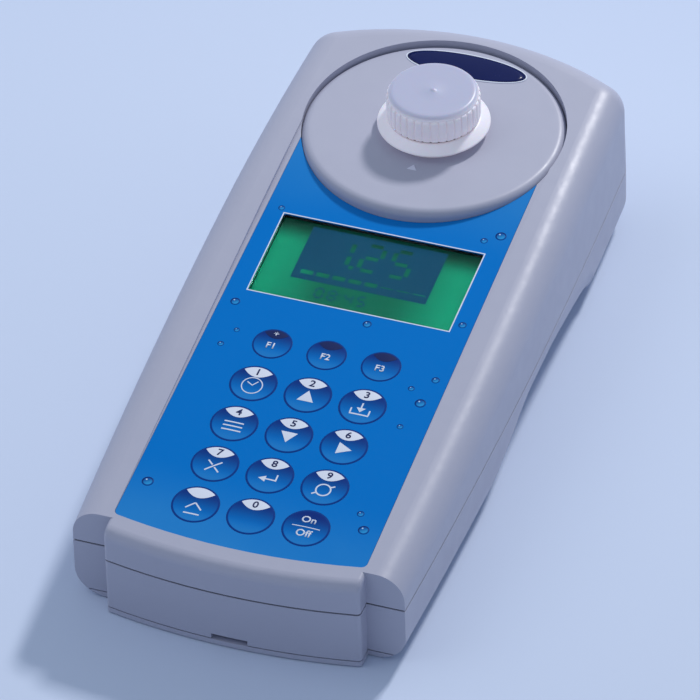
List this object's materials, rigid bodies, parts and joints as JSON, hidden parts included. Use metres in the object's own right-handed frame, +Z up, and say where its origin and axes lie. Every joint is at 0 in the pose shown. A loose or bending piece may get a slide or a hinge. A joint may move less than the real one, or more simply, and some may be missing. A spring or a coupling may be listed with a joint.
{
  "type": "colorimeter",
  "caption": "Handheld bench colorimeter with a sloping membrane keypad, a backlit display, a round sample deck and a capped glass vial in its light chamber.",
  "frame": {"origin": "bottom centre of the whole object's box, on the plane of the rubber feet", "axes": "+Y along the housing towards the sample chamber, +X to the right as the user reads the display, +Z up"},
  "size_m": [0.095, 0.211, 0.0582],
  "materials": {
    "housing_grey": "satin, fine spark texture",
    "white_plastic": "semi-gloss moulded",
    "badge_navy": "gloss",
    "foil_blue": "satin printed foil",
    "key_blue": "gloss printed foil over a dome",
    "window_clear": "clear, polished",
    "lcd_green": "backlit display",
    "bezel_black": "matte",
    "diffuser_white": "frosted",
    "board_green": "solder resist",
    "dome_steel": "sprung steel",
    "screw_steel": "plated steel",
    "chip_black": "moulded",
    "chamber_black": "matte, light-absorbing",
    "led_clear": "clear lens",
    "filter_glass": "coated glass",
    "sensor_dark": "gloss",
    "vial_clear": "clear, polished",
    "liner_white": "soft disc",
    "cell_sleeve": "printed sleeve without words",
    "contact_steel": "nickel-plated",
    "insert_brass": "turned",
    "rubber_black": "matte",
    "cable_grey": "satin"
  },
  "bodies": {
    "housing": {"upper_shell": "housing_grey", "lower_shell": "housing_grey", "sample_deck": "housing_grey", "battery_cover": "housing_grey", "housing_seal": "rubber_black", "badge_inlay": "badge_navy", "keypad_foil": "foil_blue", "display_window": "window_clear", "lcd_frame": "bezel_black", "lcd_glass": "lcd_green", "backlight": "diffuser_white", "main_board": "board_green", "key_domes": "dome_steel", "board_screws": "screw_steel", "beeper": "chip_black", "board_chips": "chip_black", "flat_cable": "cable_grey", "cell_holder": "chamber_black", "leds": "led_clear", "interference_filters": "filter_glass", "photosensors": "sensor_dark", "optics_boards": "board_green", "batteries": "cell_sleeve", "battery_contacts": "contact_steel", "cover_seal": "rubber_black", "cover_screws": "screw_steel", "housing_screws": "screw_steel", "threaded_inserts": "insert_brass", "rubber_feet": "rubber_black"},
    "key_shift": {"key_shift": "key_blue"},
    "key_0": {"key_0": "key_blue"},
    "key_on_off": {"key_on_off": "key_blue"},
    "key_7": {"key_7": "key_blue"},
    "key_8": {"key_8": "key_blue"},
    "key_9": {"key_9": "key_blue"},
    "key_4": {"key_4": "key_blue"},
    "key_5": {"key_5": "key_blue"},
    "key_6": {"key_6": "key_blue"},
    "key_1": {"key_1": "key_blue"},
    "key_2": {"key_2": "key_blue"},
    "key_3": {"key_3": "key_blue"},
    "key_f1": {"key_f1": "key_blue"},
    "key_f2": {"key_f2": "key_blue"},
    "key_f3": {"key_f3": "key_blue"},
    "shield_ring": {"light_shield_ring": "white_plastic"},
    "vial": {"vial_glass": "vial_clear"},
    "liner": {"cap_liner": "liner_white"},
    "cap": {"vial_cap": "white_plastic"}
  },
  "joints": [
    {"name": "key_shift_press", "type": "slide", "parent": "housing", "child": "key_shift", "axis": [0, 0.099, -0.9951], "range_m": [0, 0.0004], "stiffness_N_per_m": 2000},
    {"name": "key_0_press", "type": "slide", "parent": "housing", "child": "key_0", "axis": [0, 0.099, -0.9951], "range_m": [0, 0.0004], "stiffness_N_per_m": 2000},
    {"name": "key_on_off_press", "type": "slide", "parent": "housing", "child": "key_on_off", "axis": [0, 0.099, -0.9951], "range_m": [0, 0.0004], "stiffness_N_per_m": 2000},
    {"name": "key_7_press", "type": "slide", "parent": "housing", "child": "key_7", "axis": [0, 0.099, -0.9951], "range_m": [0, 0.0004], "stiffness_N_per_m": 2000},
    {"name": "key_8_press", "type": "slide", "parent": "housing", "child": "key_8", "axis": [0, 0.099, -0.9951], "range_m": [0, 0.0004], "stiffness_N_per_m": 2000},
    {"name": "key_9_press", "type": "slide", "parent": "housing", "child": "key_9", "axis": [0, 0.099, -0.9951], "range_m": [0, 0.0004], "stiffness_N_per_m": 2000},
    {"name": "key_4_press", "type": "slide", "parent": "housing", "child": "key_4", "axis": [0, 0.099, -0.9951], "range_m": [0, 0.0004], "stiffness_N_per_m": 2000},
    {"name": "key_5_press", "type": "slide", "parent": "housing", "child": "key_5", "axis": [0, 0.099, -0.9951], "range_m": [0, 0.0004], "stiffness_N_per_m": 2000},
    {"name": "key_6_press", "type": "slide", "parent": "housing", "child": "key_6", "axis": [0, 0.099, -0.9951], "range_m": [0, 0.0004], "stiffness_N_per_m": 2000},
    {"name": "key_1_press", "type": "slide", "parent": "housing", "child": "key_1", "axis": [0, 0.099, -0.9951], "range_m": [0, 0.0004], "stiffness_N_per_m": 2000},
    {"name": "key_2_press", "type": "slide", "parent": "housing", "child": "key_2", "axis": [0, 0.099, -0.9951], "range_m": [0, 0.0004], "stiffness_N_per_m": 2000},
    {"name": "key_3_press", "type": "slide", "parent": "housing", "child": "key_3", "axis": [0, 0.099, -0.9951], "range_m": [0, 0.0004], "stiffness_N_per_m": 2000},
    {"name": "key_f1_press", "type": "slide", "parent": "housing", "child": "key_f1", "axis": [0, 0.099, -0.9951], "range_m": [0, 0.0004], "stiffness_N_per_m": 2000},
    {"name": "key_f2_press", "type": "slide", "parent": "housing", "child": "key_f2", "axis": [0, 0.099, -0.9951], "range_m": [0, 0.0004], "stiffness_N_per_m": 2000},
    {"name": "key_f3_press", "type": "slide", "parent": "housing", "child": "key_f3", "axis": [0, 0.099, -0.9951], "range_m": [0, 0.0004], "stiffness_N_per_m": 2000},
    {"name": "vial_lift", "type": "slide", "parent": "housing", "child": "shield_ring", "axis": [0, 0, 1], "range_m": [0, 0.06]},
    {"name": "vial_turn", "type": "hinge", "parent": "shield_ring", "child": "vial", "pos_m": [0, 0.0613, 0.05], "axis": [0, 0, 1], "continuous": true},
    {"name": "cap_rise", "type": "slide", "parent": "vial", "child": "liner", "axis": [0, 0, 1], "range_m": [0, 0.0045]},
    {"name": "cap_unscrew", "type": "hinge", "parent": "liner", "child": "cap", "pos_m": [0, 0.0613, 0.05], "axis": [0, 0, 1], "range_deg": [0, 540]}
  ],
  "couplings": [
    {"joint": "cap_rise", "follows": "cap_unscrew", "m_per_rad": 0.00047746}
  ]
}
